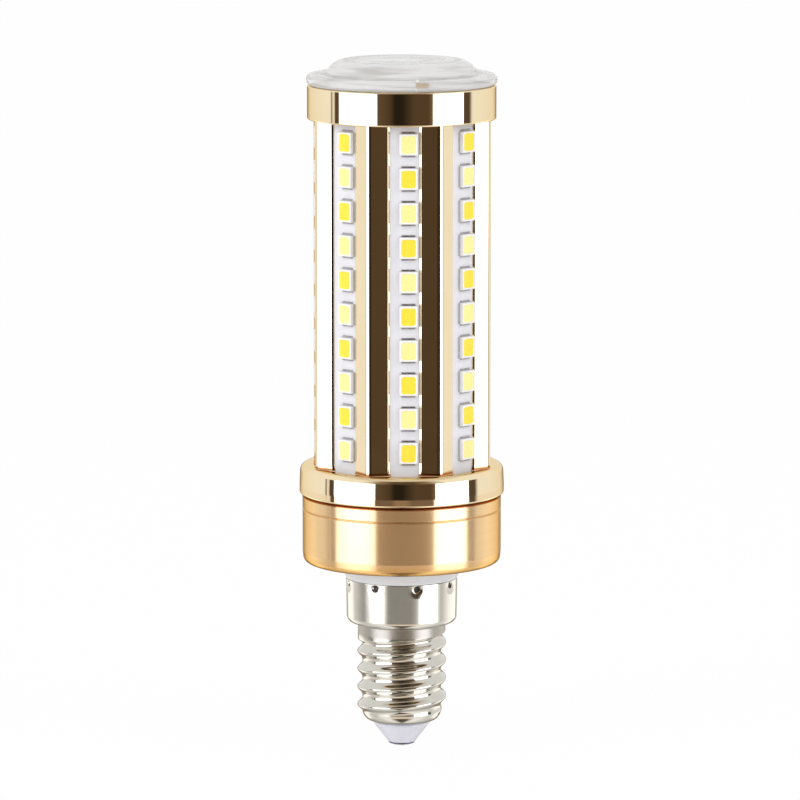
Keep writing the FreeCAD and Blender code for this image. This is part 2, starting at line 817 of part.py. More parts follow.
def make_driver_parts():
    """The parts soldered to the driver board: two stand above it, three lie below it."""
    top = f"{DRIVER_TOP} + capacitor_height"
    crimp = f"{DRIVER_TOP} + capacitor_neck"
    can = turned(
        "bulk_capacitor",
        [
            ("0", DRIVER_TOP),
            ("capacitor_radius", DRIVER_TOP),
            ("capacitor_radius", f"{crimp} - capacitor_crimp"),
            ("capacitor_radius - capacitor_crimp", crimp),
            ("capacitor_radius", f"{crimp} + capacitor_crimp"),
            ("capacitor_radius", f"{top} - capacitor_crimp"),
            ("capacitor_radius - capacitor_crimp", top),
            ("0", top),
        ],
    )
    can.Placement = about_axis(0, "capacitor_offset")
    choke = turned(
        "choke",
        [
            ("0", DRIVER_TOP),
            ("choke_radius", DRIVER_TOP),
            ("choke_radius", f"{DRIVER_TOP} + choke_flange"),
            ("choke_radius - choke_waist", f"{DRIVER_TOP} + choke_flange"),
            ("choke_radius - choke_waist", f"{DRIVER_TOP} + choke_height - choke_flange"),
            ("choke_radius", f"{DRIVER_TOP} + choke_height - choke_flange"),
            ("choke_radius", f"{DRIVER_TOP} + choke_height"),
            ("0", f"{DRIVER_TOP} + choke_height"),
        ],
    )
    choke.Placement = about_axis(180, "choke_offset")
    block(
        "bridge_rectifier",
        "rectifier_length",
        "rectifier_width",
        "rectifier_height",
        about_axis(
            0, f"{CHIP_OFFSET} - rectifier_length / 2", "-rectifier_width / 2", f"{DRIVER} - rectifier_height"
        ),
    )
    block(
        "driver_chip",
        "chip_length",
        "chip_width",
        "chip_height",
        about_axis(
            FRONT_ANGLE, f"{CHIP_OFFSET} - chip_length / 2", "-chip_width / 2", f"{DRIVER} - chip_height"
        ),
    )
    fuse = keep(rod("fuse_resistor", "fuse_radius", "fuse_length", about_axis(0)), "fuse_resistor")
    lying = FreeCAD.Rotation(FreeCAD.Vector(0, 1, 0), 90)
    end = FreeCAD.Vector(value("-fuse_length / 2"), value("fuse_offset"), value(f"{DRIVER} - fuse_radius"))
    fuse.Placement = FreeCAD.Placement(end, lying)


def make_leads():
    live = rod("live_lead", "lead_radius", f"{DRIVER} - {SHANK_TOP}", about_axis(0, height=SHANK_TOP))
    keep(live, "live_lead")
    foot = f"{THREAD_END} + neutral_start"
    place = about_axis(180, f"{SHELL_BORE} - lead_radius - fit", height=foot)
    keep(rod("neutral_lead", "lead_radius", f"{DRIVER} - ({foot})", place), "neutral_lead")
    feeds = []
    for side, angle in (("plus", 90), ("minus", 270)):
        place = about_axis(angle, f"{CORE_BORE} - feed_inset", height=DRIVER_TOP)
        feeds.append(rod(f"feed_{side}", "lead_radius", f"{BOARD_TOP} - {DRIVER_TOP}", place))
    pair = keep(doc.addObject("Part::Compound", "feed_leads"), "feed_leads")
    pair.Links = feeds


def check_document():
    """Stop before writing if anything failed to build."""
    doc.recompute()
    for thing in doc.Objects:
        if "Invalid" in thing.State or "Error" in thing.State:
            raise RuntimeError(f"{thing.Label} failed: {thing.State}")
    for node in nodes:
        if node.Shape.isNull() or not node.Shape.isValid() or not node.Shape.Solids:
            raise RuntimeError(f"{node.Label} has no valid solid")


make_centre_contact()
make_tip_insulator()
make_screw_shell()
make_neck_insulator()
make_base_cup()
make_bar_cage()
make_top_ring()
make_lens_cap()
make_led_core()
make_strips()
make_boards()
make_driver_parts()
make_leads()
check_document()

os.makedirs("parts", exist_ok=True)
for node in nodes:
    node.Shape.exportStep(f"parts/{node.Label}.step")
    box = node.Shape.BoundBox
    size = f"{node.Shape.Volume:.1f} mm3, z {box.ZMin:.2f} to {box.ZMax:.2f}"
    print(f"{node.Label}: {len(node.Shape.Solids)} solids, {size}")
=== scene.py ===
import math

import bmesh
import bpy
from mathutils import Matrix, Vector


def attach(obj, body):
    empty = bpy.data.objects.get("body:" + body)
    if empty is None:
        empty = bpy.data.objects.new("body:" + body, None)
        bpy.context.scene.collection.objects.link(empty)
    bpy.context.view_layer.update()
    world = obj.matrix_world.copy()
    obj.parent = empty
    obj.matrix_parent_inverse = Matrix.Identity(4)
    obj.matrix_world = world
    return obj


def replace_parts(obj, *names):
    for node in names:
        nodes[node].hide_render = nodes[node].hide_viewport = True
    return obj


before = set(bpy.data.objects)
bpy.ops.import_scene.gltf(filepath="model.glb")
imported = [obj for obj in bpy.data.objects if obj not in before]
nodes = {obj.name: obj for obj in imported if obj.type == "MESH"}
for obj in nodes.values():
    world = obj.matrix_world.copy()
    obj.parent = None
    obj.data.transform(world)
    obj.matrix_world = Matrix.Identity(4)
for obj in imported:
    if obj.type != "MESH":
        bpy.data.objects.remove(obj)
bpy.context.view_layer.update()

# Sizes are in millimetres, and become metres where points are made
MM = 0.001

# Heights above the contact's face
TIP, NOSE, THREAD_END, SHOULDER, RIM = 0.5, 3.9, 17.7, 19.5, 26.5
CUP, DRIVER, SEAM, FLOOR, DECK = 29.0, 36.35, 39.75, 41.6, 44.3
RING, BOARD_TOP, HOOP_TOP, CAP, LENS_RIM, TOP = 97.7, 98.6, 101.15, 102.9, 104.65, 106.8

# Strips round the axis, the first of them in front, and the LEDs on each
STRIPS, LEDS = 8, 10
STEP = 2 * math.pi / STRIPS
HALF = STEP / 2
FRONT = -math.pi / 2
BOARD = 12.6
LED_FIRST, LED_PITCH, LED_SHIFT = 47.8, 5.24, 0.6
LED_W, LED_L, LED_H = 2.8, 3.5, 0.85
PHOSPHOR_W, PHOSPHOR_L = 2.16, 2.66

# The bars' section: back, groove for a board's edge, bevelled lip and rounded ridge
BAR_BACK, GROOVE, GROOVE_END = 11.65, 12.65, 2.75
LIP, LIP_EDGE, LIP_BEVEL = 12.74, 12.975, 0.26
RIDGE, RIDGE_RADIUS = 13.45, 1.0
WINDOW = 2.28

# The screw cap: thread, plain neck, collar and punch marks
THREAD_MAJOR, THREAD_MINOR, THREAD_PITCH, THREAD_START = 6.9, 6.12, 2.822, 2.1
NECK, COLLAR, COLLAR_BORE = 6.8, 8.62, 8.2
NOSE_ROUND = 1.6
STAKE_HEIGHT = RIM - 0.65
STAKES = [math.radians(14.5 + 45 * index) for index in range(8)]

# The photograph's view: angles in degrees, distance and target in metres
VIEW_TURN, VIEW_RISE = -1.9, 8.44
VIEW_DISTANCE = 0.837
VIEW_TARGET = (-0.00026, 0.0, 0.0541)
VIEW_LENS = 244.0

WHITE = (1.0, 1.0, 1.0)
BLACK = (0.0, 0.0, 0.0)


# Nodes, for the materials and the studio


def set_values(node, **values):
    """Set a node's inputs by their names, with _ for a space."""
    for name, number in values.items():
        node.inputs[name.replace("_", " ")].default_value = number


def feed(tree, socket, source):
    """Link a socket to a source, or set it to a number or a colour."""
    if isinstance(source, tuple):
        socket.default_value = (*source, 1)
    elif isinstance(source, (int, float)):
        socket.default_value = source
    else:
        tree.links.new(source, socket)


def maths(tree, operation, *sources):
    node = tree.nodes.new("ShaderNodeMath")
    node.operation = operation
    for socket, source in zip(node.inputs, sources):
        feed(tree, socket, source)
    return node.outputs["Value"]


def mix(tree, factor, first, second, blend="MIX"):
    node = tree.nodes.new("ShaderNodeMix")
    node.data_type = "RGBA"
    node.blend_type = blend
    for name, source in (("Factor", factor), ("A", first), ("B", second)):
        feed(tree, node.inputs[name], source)
    return node.outputs["Result"]


def multiply(tree, first, second):
    return mix(tree, 1.0, first, second, "MULTIPLY")


def map_range(tree, source, low, high, first=0.0, last=1.0, kind="LINEAR"):
    """A number between low and high, brought between first and last."""
    node = tree.nodes.new("ShaderNodeMapRange")
    node.interpolation_type = kind
    set_values(node, From_Min=low, From_Max=high, To_Min=first, To_Max=last)
    tree.links.new(source, node.inputs["Value"])
    return node.outputs["Result"]


def colour_ramp(tree, factor, stops):
    """Colours along a factor, each stop (position from 0 to 1, colour)."""
    ramp = tree.nodes.new("ShaderNodeValToRGB")
    elements = ramp.color_ramp.elements
    while len(elements) < len(stops):
        elements.new(0.5)
    for element, (position, colour) in zip(elements, stops):
        element.position = position
        element.color = (*colour, 1)
    tree.links.new(factor, ramp.inputs["Fac"])
    return ramp.outputs["Color"]


def level_colours(tree, source, stops):
    """Colours along any number, each stop (level, colour) from the lowest to the highest."""
    low, high = stops[0][0], stops[-1][0]
    factor = map_range(tree, source, low, high)
    return colour_ramp(tree, factor, [((level - low) / (high - low), colour) for level, colour in stops])


# Parts of a material

# Most of a noise lies between these two
NOISE_LOW, NOISE_HIGH = 0.3, 0.7


def new_material(name):
    material = bpy.data.materials.new(name)
    material.use_nodes = True
    tree = material.node_tree
    return material, tree, tree.nodes["Principled BSDF"]


def place(tree, scale=(1, 1, 1)):
    """Object coordinates, in metres, stretched by a scale."""
    coordinate = tree.nodes.new("ShaderNodeTexCoord")
    mapping = tree.nodes.new("ShaderNodeMapping")
    set_values(mapping, Scale=scale)
    tree.links.new(coordinate.outputs["Object"], mapping.inputs["Vector"])
    return mapping.outputs["Vector"]


def radius_and_height(tree):
    """A point's distance from the axis and its height, in millimetres."""
    radius = tree.nodes.new("ShaderNodeVectorMath")
    radius.operation = "LENGTH"
    tree.links.new(place(tree, (1 / MM, 1 / MM, 0)), radius.inputs[0])
    split = tree.nodes.new("ShaderNodeSeparateXYZ")
    tree.links.new(place(tree, (1, 1, 1 / MM)), split.inputs["Vector"])
    return radius.outputs["Value"], split.outputs["Z"]


def noise(tree, vector, scale, detail=3.0, rough=0.5):
    node = tree.nodes.new("ShaderNodeTexNoise")
    set_values(node, Scale=scale, Detail=detail, Roughness=rough)
    tree.links.new(vector, node.inputs["Vector"])
    return node.outputs["Fac"]


def blend_colours(tree, pattern, low, high):
    return colour_ramp(tree, pattern, [(NOISE_LOW, low), (NOISE_HIGH, high)])


def spread(tree, pattern, low, high):
    return map_range(tree, pattern, NOISE_LOW, NOISE_HIGH, low, high)


def bump(tree, shader, pattern, relief):
    node = tree.nodes.new("ShaderNodeBump")
    set_values(node, Strength=1.0, Distance=relief * MM)
    tree.links.new(pattern, node.inputs["Height"])
    tree.links.new(node.outputs["Normal"], shader.inputs["Normal"])


def surface(
    name, low, high, rough, grain, relief, stretch=(1, 1, 1), tints=None, dulling=None, **values
):
    """A material from one noise: two colours, a range of roughness, its grain per metre and its relief.

    Tints multiply the colour, and dulling adds to the roughness, by stops of height.
    """
    material, tree, shader = new_material(name)
    set_values(shader, **values)
    pattern = noise(tree, place(tree, stretch), grain)
    colour = blend_colours(tree, pattern, low, high)
    roughness = spread(tree, pattern, *rough)
    if tints:
        colour = multiply(tree, colour, level_colours(tree, radius_and_height(tree)[1], tints))
    if dulling:
        roughness = maths(tree, "ADD", roughness, level_colours(tree, radius_and_height(tree)[1], dulling))
    tree.links.new(colour, shader.inputs["Base Color"])
    tree.links.new(roughness, shader.inputs["Roughness"])
    bump(tree, shader, pattern, relief)
    return material


# Materials


def polished_gold():
    """Polished gold plate, with a thin brown line of painted shade where the bars meet the flange."""
    brown = (0.48, 0.22, 0.11)
    return surface(
        "polished_gold_finish", (0.872, 0.728, 0.486), (0.895, 0.755, 0.515), (0.02, 0.045), 130.0, 0.0006,
        tints=[
            # Painted shade: a brown band on the bars' feet just above the deck, where they meet the flange
            (DECK - 1, WHITE), (DECK + 0.01, WHITE), (DECK + 0.05, brown), (DECK + 0.3, brown),
            (DECK + 0.5, WHITE), (DECK + 1, WHITE),
        ],
        Metallic=1.0, Specular_Tint=(0.90, 0.79, 0.60, 1),
    )


def satin_gold():
    """Lacquered gold, turned on a lathe: fine lines run round it. Its foot is painted a deeper amber as a
    painted reflection, the seam under the flange carries painted shade, and so do its underside and inside.
    """
    material, tree, shader = new_material("satin_gold_finish")
    set_values(
        shader, Metallic=1.0, Anisotropic=0.9, Anisotropic_Rotation=0.25,
        Specular_Tint=(0.78, 0.60, 0.38, 1),
    )
    tangent = tree.nodes.new("ShaderNodeTangent")
    tangent.direction_type = "RADIAL"
    tangent.axis = "Z"
    tree.links.new(tangent.outputs["Tangent"], shader.inputs["Tangent"])
    lines = noise(tree, place(tree, (60, 60, 9000)), 1.0, 4.0, 0.6)
    cloud = noise(tree, place(tree), 160.0, 2.0)
    radius, height = radius_and_height(tree)
    painted_foot_amber, cream, brown, dark = (0.98, 0.86, 0.58), (1, 0.98, 0.94), (0.40, 0.16, 0.07), (0.22, 0.06, 0.03)
    # Painted reflection: a deeper amber at the cup's foot; painted shade: brown to dark at the seam under the
    # flange
    foot_reflection_and_seam_shade = level_colours(
        tree, height,
        [
            (CUP, painted_foot_amber), (CUP + 0.4, painted_foot_amber), (CUP + 1.6, cream), (CUP + 2.2, WHITE), (SEAM - 0.55, WHITE),
            (SEAM - 0.4, brown), (SEAM, dark),
        ],
    )
    # Painted shade on the cup's underside and inside, wherever it lies nearer the axis than 14.3 mm
    underside_shade = (0.16, 0.18, 0.24)
    painted_underside_shade = level_colours(tree, radius, [(0.0, underside_shade), (14.3, underside_shade), (14.9, WHITE), (16.0, WHITE)])
    tint = blend_colours(tree, lines, (0.785, 0.55, 0.30), (0.815, 0.58, 0.33))
    colour = multiply(tree, multiply(tree, tint, foot_reflection_and_seam_shade), painted_underside_shade)
    tree.links.new(colour, shader.inputs["Base Color"])
    tree.links.new(spread(tree, cloud, 0.22, 0.26), shader.inputs["Roughness"])
    bump(tree, shader, lines, 0.001)
    return material


def nickel_plate():
    """Nickel plate, polished but for the plain neck, which the rolling has left dull and which is painted
    darker as shade under the collar.
    """
    painted_neck_shade, dull = (0.60, 0.59, 0.565), (0.24, 0.24, 0.24)
    return surface(
        "nickel_finish", (0.60, 0.58, 0.52), (0.64, 0.62, 0.56), (0.08, 0.13), 300.0, 0.001,
        # The tints paint shade on the plain neck below the collar
        tints=[
            (THREAD_END - 1, WHITE), (THREAD_END - 0.6, WHITE), (THREAD_END, painted_neck_shade), (SHOULDER - 0.3, painted_neck_shade),
            (SHOULDER + 0.2, WHITE), (SHOULDER + 1, WHITE),
        ],
        dulling=[
            (THREAD_END - 1, BLACK), (THREAD_END - 0.2, BLACK), (THREAD_END + 0.2, dull),
            (SHOULDER - 0.3, dull), (SHOULDER, BLACK), (SHOULDER + 1, BLACK),
        ],
        Metallic=1.0,
    )


def white_ceramic():
    """White ceramic, with painted shade where it goes into the screw cap's nose."""
    painted_gap_shade = (0.4, 0.38, 0.46)
    return surface(
        "tip_ceramic", (0.80, 0.79, 0.865), (0.83, 0.82, 0.89), (0.3, 0.4), 500.0, 0.002,
        # Painted shade from just below the nose upwards
        tints=[(0.0, WHITE), (NOSE - 0.22, WHITE), (NOSE - 0.1, painted_gap_shade), (8.0, painted_gap_shade)],
    )


def contact_metal():
    """Tinned metal, with painted shade above the contact's step."""
    dark = (0.1, 0.1, 0.15)
    return surface(
        "contact_finish", (0.62, 0.61, 0.62), (0.75, 0.74, 0.75), (0.28, 0.45), 2500.0, 0.01,
        # Painted shade above the step, under the ceramic's face
        tints=[(0.0, WHITE), (0.24, WHITE), (0.28, dark), (1.0, dark)],
        Metallic=0.8,
    )


def clear_plastic():
    """Moulded clear cap, slightly milky, with painted shade rings where the dome bends and painted streaks
    for the gold ring seen through it, all running round it.
    """
    material, tree, shader = new_material("clear_cap_plastic")
    set_values(shader, Transmission_Weight=0.2, IOR=1.46, Specular_IOR_Level=0.35, Alpha=0.7)
    # How fast the painted refraction streaks change: across the cap per metre, outwards per millimetre, and
    # up more than that
    across, outwards, climb = 80, 0.38, 5.0
    radius, height = radius_and_height(tree)
    flat = tree.nodes.new("ShaderNodeSeparateXYZ")
    tree.links.new(place(tree, (across, across, 1)), flat.inputs["Vector"])
    flow = tree.nodes.new("ShaderNodeCombineXYZ")
    for axis in ("X", "Y"):
        tree.links.new(flat.outputs[axis], flow.inputs[axis])
    run = maths(tree, "MULTIPLY_ADD", height, climb, radius)
    tree.links.new(maths(tree, "MULTIPLY", run, outwards), flow.inputs["Z"])
    painted_refraction_streaks = noise(tree, flow.outputs["Vector"], 1.0, 2.0)
    # Painted refraction: the streaks darken to brownish grey where the gold ring would show through
    tint = level_colours(
        tree, painted_refraction_streaks,
        [
            (0.25, (0.60, 0.58, 0.56)), (0.36, (0.68, 0.66, 0.64)), (0.5, (0.97, 0.965, 0.958)),
            (0.75, (1.0, 0.998, 0.992)),
        ],
    )
    # Painted shade rings where the dome's top and its foot bend
    inner, outer = (0.66, 0.645, 0.63), (0.74, 0.725, 0.71)
    rings = level_colours(
        tree, radius,
        [
            (0.0, WHITE), (8.0, WHITE), (8.7, inner), (9.4, WHITE), (11.7, WHITE), (12.1, outer),
            (12.6, WHITE), (15.0, WHITE),
        ],
    )
    tree.links.new(multiply(tree, tint, rings), shader.inputs["Base Color"])
    tree.links.new(spread(tree, painted_refraction_streaks, 0.12, 0.22), shader.inputs["Roughness"])
    return material


finishes = {
    "polished_gold": polished_gold(),
    "satin_gold": satin_gold(),
    "nickel_plate": nickel_plate(),
    "white_ceramic": white_ceramic(),
    "clear_plastic": clear_plastic(),
    "tinned_contact": surface(
        "tin_finish", (0.30, 0.29, 0.30), (0.45, 0.44, 0.45), (0.28, 0.45), 2500.0, 0.01, Metallic=0.8
    ),
    "bare_aluminium": surface(
        "aluminium_finish", (0.60, 0.61, 0.62), (0.70, 0.71, 0.72), (0.25, 0.4), 300.0, 0.004,
        stretch=(20, 20, 1), Metallic=1.0,
    ),
    "white_plastic": surface(
        "neck_plastic", (0.90, 0.90, 0.91), (0.93, 0.93, 0.94), (0.3, 0.4), 900.0, 0.002,
        Subsurface_Weight=0.15, Subsurface_Scale=MM,
    ),
    "white_board": surface(
        "board_mask", (0.80, 0.793, 0.832), (0.83, 0.823, 0.86), (0.38, 0.5), 500.0, 0.003
    ),
    "green_board": surface(
        "driver_mask", (0.02, 0.16, 0.06), (0.03, 0.21, 0.08), (0.3, 0.42), 500.0, 0.01
    ),
    "led_resin": surface(
        "led_resin_finish", (0.90, 0.895, 0.905), (0.93, 0.925, 0.93), (0.35, 0.45), 1500.0, 0.003
    ),
    "warm_phosphor": surface(
        "warm_phosphor_gel", (0.98, 0.76, 0.035), (1.0, 0.84, 0.055), (0.3, 0.42), 5200.0, 0.01,
        Coat_Weight=0.3, Coat_Roughness=0.12,
    ),
    "cool_phosphor": surface(
        "cool_phosphor_gel", (0.98, 0.90, 0.29), (1.0, 0.95, 0.40), (0.3, 0.42), 5200.0, 0.01,
        Coat_Weight=0.3, Coat_Roughness=0.12,
    ),
    "capacitor_sleeve": surface(
        "sleeve_film", (0.015, 0.015, 0.02), (0.03, 0.03, 0.04), (0.2, 0.32), 300.0, 0.01
    ),
    "choke_winding": surface(
        "winding_wire", (0.42, 0.16, 0.05), (0.62, 0.27, 0.09), (0.25, 0.4), 1.0, 0.05,
        stretch=(40, 40, 4200), Metallic=0.7,
    ),
    "black_epoxy": surface(
        "epoxy_mould", (0.012, 0.012, 0.013), (0.025, 0.025, 0.026), (0.5, 0.65), 3000.0, 0.01
    ),
    "resistor_body": surface(
        "resistor_paint", (0.30, 0.42, 0.50), (0.38, 0.50, 0.58), (0.35, 0.5), 1200.0, 0.01
    ),
    "wire_insulation": surface(
        "wire_sleeve", (0.55, 0.03, 0.025), (0.66, 0.05, 0.04), (0.35, 0.5), 800.0, 0.01
    ),
}
contact_finish = contact_metal()
# Grey for the plinths round the LED packages' feet: painted shade
led_base_shade = surface("led_base_shade_grey", (0.50, 0.49, 0.50), (0.58, 0.57, 0.58), (0.4, 0.5), 1500.0, 0.003)
# Brown for the latch block: a painted reflection of the gold ring through the clear plastic
latch_painted_reflection = surface(
    "latch_painted_reflection", (0.42, 0.34, 0.25), (0.55, 0.46, 0.36), (0.25, 0.35), 900.0, 0.01
)
# Near black for the discs in the punch marks: painted shade
pit_shade_finish = surface("stake_pit", (0.010, 0.010, 0.009), (0.035, 0.034, 0.03), (0.4, 0.6), 2500.0, 0.01)


# Meshes


def link(work, name, slot, sharp=28.0, finish=None):
    """Make a form an object in its slot's finish, or in the given one, that rides on the bulb."""
    bmesh.ops.recalc_face_normals(work, faces=work.faces)
    mesh = bpy.data.meshes.new(name)
    work.to_mesh(mesh)
    work.free()
    mesh.shade_smooth()
    mesh.set_sharp_from_angle(angle=math.radians(sharp))
    mesh.materials.append(finish or finishes[slot])
    piece = bpy.data.objects.new(name, mesh)
    bpy.context.scene.collection.objects.link(piece)
    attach(piece, "root")
    return piece


def turned(angle):
    """Puts (out, side, height) at an angle about the axis into the bulb's frame, in metres."""
    c, s = math.cos(angle), math.sin(angle)

    def put(out, side, height):
        return (out * c - side * s) * MM, (out * s + side * c) * MM, height * MM

    return put


def arc_points(before, corner, after, radius, count):
    """Points of the arc that rounds a corner, with a support point beside each end."""
    longest, beside = 0.48, 0.04
    back = (before - corner).normalized()
    ahead = (after - corner).normalized()
    half = back.angle(ahead) / 2
    room = longest * min((before - corner).length, (after - corner).length)
    reach = min(radius / math.tan(half), room)
    radius = reach * math.tan(half)
    centre = corner + (back + ahead).normalized() * (radius / math.sin(half))
    start = corner + back * reach - centre
    end = corner + ahead * reach - centre
    sweep = start.angle_signed(end)
    support = reach + beside * reach
    points = [corner + back * support]
    for index in range(count + 1):
        turn = Matrix.Rotation(-sweep * index / count, 2)
        points.append(centre + turn @ start)
    points.append(corner + ahead * support)
    return points


def rounded(corners, count=6):
    """A closed outline through (x, y) or (x, y, radius) corners, with arcs on the rounded ones."""
    flat = [Vector(corner[:2]) for corner in corners]
    path = []
    for index, corner in enumerate(corners):
        if len(corner) < 3:
            path.append(flat[index])
            continue
        before, after = flat[index - 1], flat[(index + 1) % len(flat)]
        path.extend(arc_points(before, flat[index], after, corner[2], count))
    return path


def join_profiles(work, profiles):
    """Faces between each of a turned form's closed profiles and the next one round."""
    for index, here in enumerate(profiles):
        there = profiles[(index + 1) % len(profiles)]
        for j in range(len(here)):
            k = (j + 1) % len(here)
            work.faces.new((here[j], there[j], there[k], here[k]))


def join_loops(work, loops):
    """Faces between each closed loop and the next one up."""
    for low, high in zip(loops, loops[1:]):
        for j in range(len(low)):
            k = (j + 1) % len(low)
            work.faces.new((low[j], low[k], high[k], high[j]))


def close_stack(work, loops):
    """A closed form through a stack of loops."""
    join_loops(work, loops)
    work.faces.new(loops[0][::-1])
    work.faces.new(loops[-1])


def add_turning(work, path, segments):
    """Turn a closed outline of (radius, height) about the axis."""
    profiles = []
    for index in range(segments):
        angle = 2 * math.pi * index / segments
        c, s = math.cos(angle) * MM, math.sin(angle) * MM
        profiles.append([work.verts.new((p.x * c, p.x * s, p.y * MM)) for p in path])
    join_profiles(work, profiles)


def turning(name, slot, corners, count=6, segments=192, finish=None):
    """A turned piece."""
    work = bmesh.new()
    add_turning(work, rounded(corners, count), segments)
    return link(work, name, slot, finish=finish)


def rectangle_loop(width, length, radius, count=4):
    """Points of a rectangle with rounded corners, anticlockwise."""
    points = []
    for x, y, start in ((1, 1, 0), (-1, 1, 90), (-1, -1, 180), (1, -1, 270)):
        for index in range(count + 1):
            angle = math.radians(start + 90 * index / count)
            along_x = x * (width / 2 - radius) + radius * math.cos(angle)
            along_y = y * (length / 2 - radius) + radius * math.sin(angle)
            points.append((along_x, along_y))
    return points


def add_stack(work, put, rectangles):
    """A small moulded form from rounded rectangles (width, length, radius, height), closed at both ends."""
    loops = []
    for width, length, radius, height in rectangles:
        outline = rectangle_loop(width, length, radius)
        loops.append([work.verts.new(put(x, y, height)) for x, y in outline])
    close_stack(work, loops)


# Turned pieces

# Outlines that reach the axis stop just short of it
AXIS = 0.002


def make_contact():
    stem, face, rim = 0.8, 1.4, 2.0
    step, top = 0.25, 7.25
    return turning(
        "contact_button", "tinned_contact",
        [
            (AXIS, 0.0), (face, 0.0, 0.15), (face, step, 0.05), (rim, step, 0.08), (rim, TIP, 0.05),
            (stem, TIP), (stem, top), (AXIS, top),
        ],
        segments=96,
        finish=contact_finish,
    )


def make_tip():
    bore, face, cone, flange = 0.85, 2.1, 4.35, 5.6
    seat = NOSE + 1.65
    top = seat + 0.9
    return turning(
        "tip_cone", "white_ceramic",
        [
            (bore, TIP), (face, TIP, 0.08), (cone, NOSE - 0.5, 0.3), (cone, seat), (flange, seat),
            (flange, top), (bore, top),
        ],
        segments=144,
    )


def make_neck():
    bore, spigot, tube, foot, head = 6.5, 7.85, 8.15, 8.7, 9.1
    bottom, top = RIM - 4.5, CUP + 2.4
    return turning(
        "neck_ring", "white_plastic",
        [
            (bore, bottom), (tube, bottom), (tube, RIM), (foot, RIM, 0.3), (head, CUP, 0.15), (spigot, CUP),
            (spigot, top), (bore, top),
        ],
    )


def make_cup():
    bore, inside, seat, outside = 7.9, 13.15, 14.15, 15.35
    floor, groove, groove_half = CUP + 1.4, SEAM - 2.35, 0.17
    return turning(
        "satin_cup", "satin_gold",
        [
            (bore, CUP), (outside - 0.15, CUP, 1.6), (outside, CUP + 1.85, 1.0),
            (outside, groove - groove_half, 0.08), (outside - 0.19, groove, 0.06),
            (outside, groove + groove_half, 0.08), (outside, SEAM - 0.30, 0.06), (outside - 0.35, SEAM),
            (seat, SEAM), (seat, DRIVER), (inside, DRIVER), (inside, floor), (bore, floor),
        ],
        segments=256,
    )


def make_collar():
    lip, bore, outside = 12.25, 13.75, 14.5
    step = HOOP_TOP + 0.05
    return turning(
        "gold_collar", "polished_gold",
        [(bore, RING), (outside, RING, 0.25), (outside, CAP, 0.25), (lip, CAP), (lip, step), (bore, step)],
        segments=256,
    )


def make_lens():
    bore, plug, rim = 11.2, 12.2, 14.63
    dome_foot, dome_top, hollow = 12.0, 10.0, 9.7
    foot, ceiling = BOARD_TOP + 1.2, TOP - 1.3
    return turning(
        "clear_lens", "clear_plastic",
        [
            (bore, foot), (plug, foot), (plug, CAP), (rim, CAP, 0.7), (rim, LENS_RIM, 1.0),
            (dome_foot, LENS_RIM, 0.25), (dome_top, TOP, 3.2), (AXIS, TOP), (AXIS, ceiling),
            (hollow, ceiling, 0.6), (bore, CAP),
        ],
        count=8,
        segments=224,
    )


# Cage


def strip_corner(radius, across):
    """A point beside a strip, in the frame of the bar next to it."""
    along_x = radius * math.cos(HALF) + across * math.sin(HALF)
    along_y = radius * math.sin(HALF) - across * math.cos(HALF)
    return along_x, along_y


def bar_outline(half_window, swell):
    """One bar's section, with bevelled lips and a rounded ridge, pushed out by a swell."""
    side = [
        strip_corner(BAR_BACK, GROOVE_END),
        strip_corner(GROOVE, GROOVE_END),
        strip_corner(GROOVE, half_window),
        (*strip_corner(LIP, half_window), 0.03),
        (*strip_corner(LIP_EDGE + swell, half_window + LIP_BEVEL), 0.07),
    ]
    edge = Vector(side[-1][:2])
    centre = Vector((RIDGE + swell, 0.0))
    aim = centre - edge
    lean = math.asin(RIDGE_RADIUS / aim.length)
    slope = math.atan2(aim.y, aim.x) + lean
    peak = edge.x - edge.y / math.tan(slope)
    mirrored = [(corner[0], -corner[1], *corner[2:]) for corner in side]
    heel = (BAR_BACK / math.cos(HALF), 0.0)
    return rounded([*mirrored[::-1], heel, *side, (peak, 0.0, RIDGE_RADIUS)])


def quarter(rise):
    """Fall of a hollow quarter round, from one at its foot to nothing at its top."""
    return 1 - math.sqrt(max(0.0, 1 - (1 - min(1.0, rise)) ** 2))


def bar_levels():
    """Levels up a bar that widens to a foot and swells out to the flange: (height, half window, swell)."""
    base, foot, fillet, splay = DECK - 0.15, 1.3, 0.42, 0.35
    levels = [(FLOOR + 0.1, WINDOW - splay, fillet), (base - 0.3, WINDOW - splay, fillet)]
    rises = [fillet * index / 8 for index in range(9)]
    rises += [fillet + (foot - fillet) * index / 5 for index in range(1, 6)]
    for rise in rises:
        half_window = WINDOW - splay * quarter(rise / foot)
        levels.append((base + rise, half_window, fillet * quarter(rise / fillet)))
    return [*levels, (base + foot + 0.1, WINDOW, 0.0), (RING + 0.6, WINDOW, 0.0)]


def add_bar(work, angle):
    put = turned(angle)
    loops = []
    for height, half_window, swell in bar_levels():
        outline = bar_outline(half_window, swell)
        loops.append([work.verts.new(put(p.x, p.y, height)) for p in outline])
    close_stack(work, loops)


